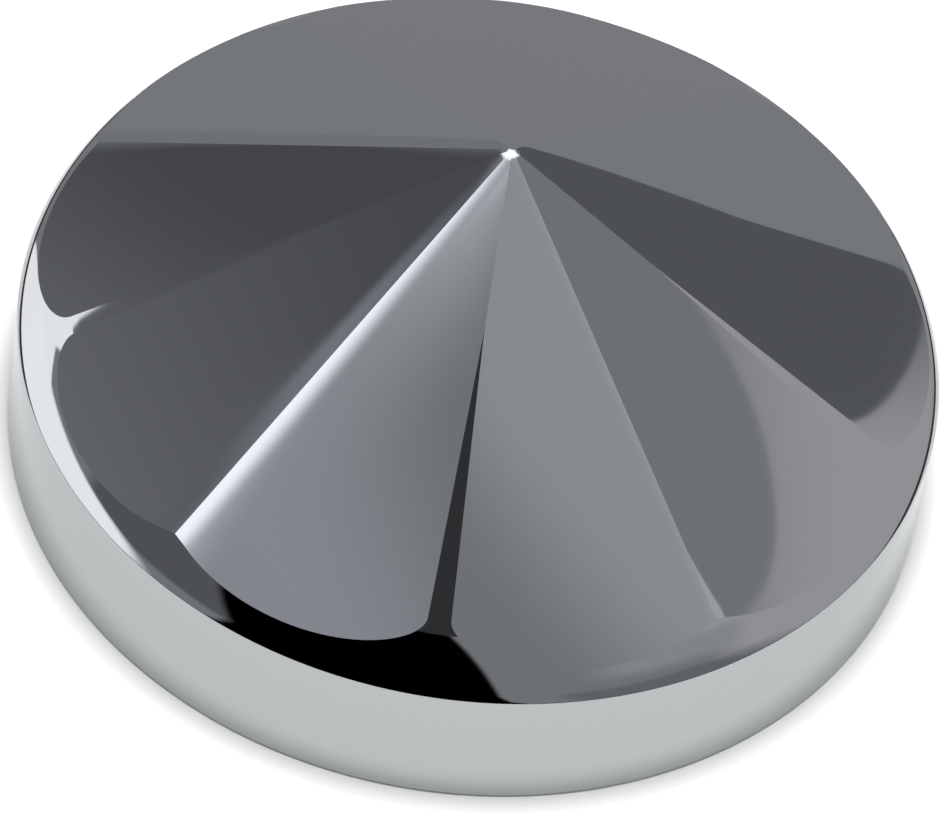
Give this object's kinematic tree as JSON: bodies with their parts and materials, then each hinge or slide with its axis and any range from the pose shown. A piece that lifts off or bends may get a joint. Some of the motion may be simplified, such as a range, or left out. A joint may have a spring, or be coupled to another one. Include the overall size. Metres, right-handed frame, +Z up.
{
  "type": "hubcap",
  "caption": "Round chrome-plated hubcap with a faceted pointed crown on a plain skirt; pushed over a wheel's hub to cover it.",
  "frame": {"origin": "centre of the open rim, on the plane that the cap stands on", "axes": "+Z up the symmetry axis to the crown's point; one crisp ridge runs along +Y"},
  "size_m": [0.216, 0.2158, 0.0904],
  "materials": {
    "chrome_plate": "bright chrome plating over moulded ABS"
  },
  "bodies": {
    "root": {"cap_shell": "chrome_plate"}
  },
  "joints": []
}
